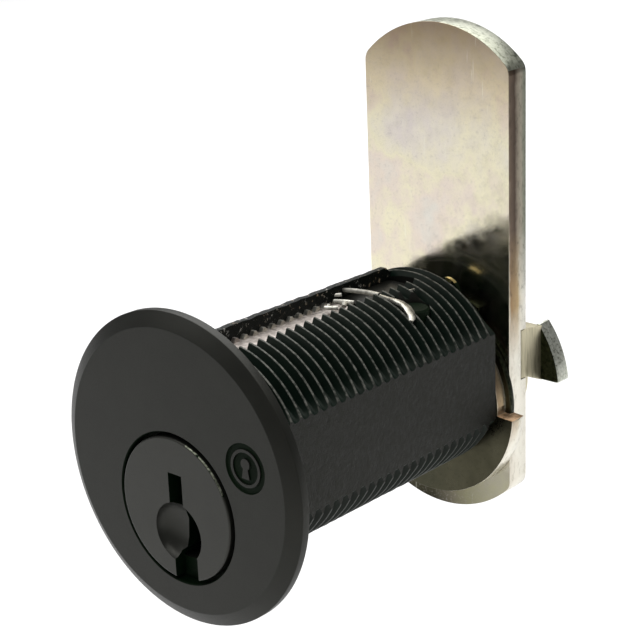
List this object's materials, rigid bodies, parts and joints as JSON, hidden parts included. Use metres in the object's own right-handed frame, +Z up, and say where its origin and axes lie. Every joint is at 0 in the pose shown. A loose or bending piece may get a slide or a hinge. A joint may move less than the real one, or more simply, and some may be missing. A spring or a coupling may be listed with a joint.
{
  "type": "cam lock",
  "caption": "Threaded cam lock with a round flange, eccentric keyed plug, spring-loaded pins, stop washer and a flat swinging cam held behind the barrel by a winged retainer.",
  "frame": {"origin": "centre of the flange's back face, on the barrel's axis, which is the front surface of the panel the lock is fitted in", "axes": "+Y along the barrel from the keyed face toward the cam; +Z up along the cam in the rest pose; +X to the right seen from the keyed face"},
  "size_m": [0.0274, 0.045, 0.0476],
  "materials": {
    "black_enamel": "satin black coating on die-cast metal",
    "black_plug": "satin black plating",
    "cover_strip": "worn, partly blackened steel",
    "bright_zinc": "zinc plated, faint straw and pink tint",
    "dull_zinc": "zinc plated, dull",
    "brass": "turned",
    "spring_steel": "bright"
  },
  "bodies": {
    "housing": {"barrel_housing": "black_enamel", "chamber_cover": "cover_strip", "plug_retaining_pin": "spring_steel", "stop_pin": "brass", "pin_spring_1": "spring_steel", "pin_spring_2": "spring_steel", "pin_spring_3": "spring_steel", "pin_spring_4": "spring_steel", "pin_spring_5": "spring_steel"},
    "plug": {"plug": "black_plug", "stop_washer": "dull_zinc", "cam": "bright_zinc", "cam_retainer": "bright_zinc", "lock_washer": "spring_steel", "cam_screw": "spring_steel"},
    "key_pin_1": {"key_pin_1": "brass"},
    "driver_pin_1": {"driver_pin_1": "brass"},
    "key_pin_2": {"key_pin_2": "brass"},
    "driver_pin_2": {"driver_pin_2": "brass"},
    "key_pin_3": {"key_pin_3": "brass"},
    "driver_pin_3": {"driver_pin_3": "brass"},
    "key_pin_4": {"key_pin_4": "brass"},
    "driver_pin_4": {"driver_pin_4": "brass"},
    "key_pin_5": {"key_pin_5": "brass"},
    "driver_pin_5": {"driver_pin_5": "brass"}
  },
  "joints": [
    {"name": "plug_turn", "type": "hinge", "parent": "housing", "child": "plug", "pos_m": [0, 0.016, -0.00327], "axis": [0, 1, 0], "range_deg": [0, 90]},
    {"name": "key_pin_1_slide", "type": "slide", "parent": "plug", "child": "key_pin_1", "axis": [0, 0, 1], "range_m": [-0.00125, 0]},
    {"name": "key_pin_2_slide", "type": "slide", "parent": "plug", "child": "key_pin_2", "axis": [0, 0, 1], "range_m": [-0.00205, 0]},
    {"name": "key_pin_3_slide", "type": "slide", "parent": "plug", "child": "key_pin_3", "axis": [0, 0, 1], "range_m": [-0.00085, 0]},
    {"name": "key_pin_4_slide", "type": "slide", "parent": "plug", "child": "key_pin_4", "axis": [0, 0, 1], "range_m": [-0.00165, 0]},
    {"name": "key_pin_5_slide", "type": "slide", "parent": "plug", "child": "key_pin_5", "axis": [0, 0, 1], "range_m": [-0.00135, 0]},
    {"name": "driver_pin_1_slide", "type": "slide", "parent": "housing", "child": "driver_pin_1", "axis": [0, 0, 1], "range_m": [0, 0.0012], "stiffness_N_per_m": 60, "springref_m": -0.004, "deforming": ["pin_spring_1"]},
    {"name": "driver_pin_2_slide", "type": "slide", "parent": "housing", "child": "driver_pin_2", "axis": [0, 0, 1], "range_m": [0, 0.0012], "stiffness_N_per_m": 60, "springref_m": -0.004, "deforming": ["pin_spring_2"]},
    {"name": "driver_pin_3_slide", "type": "slide", "parent": "housing", "child": "driver_pin_3", "axis": [0, 0, 1], "range_m": [0, 0.0012], "stiffness_N_per_m": 60, "springref_m": -0.004, "deforming": ["pin_spring_3"]},
    {"name": "driver_pin_4_slide", "type": "slide", "parent": "housing", "child": "driver_pin_4", "axis": [0, 0, 1], "range_m": [0, 0.0012], "stiffness_N_per_m": 60, "springref_m": -0.004, "deforming": ["pin_spring_4"]},
    {"name": "driver_pin_5_slide", "type": "slide", "parent": "housing", "child": "driver_pin_5", "axis": [0, 0, 1], "range_m": [0, 0.0012], "stiffness_N_per_m": 60, "springref_m": -0.004, "deforming": ["pin_spring_5"]}
  ]
}
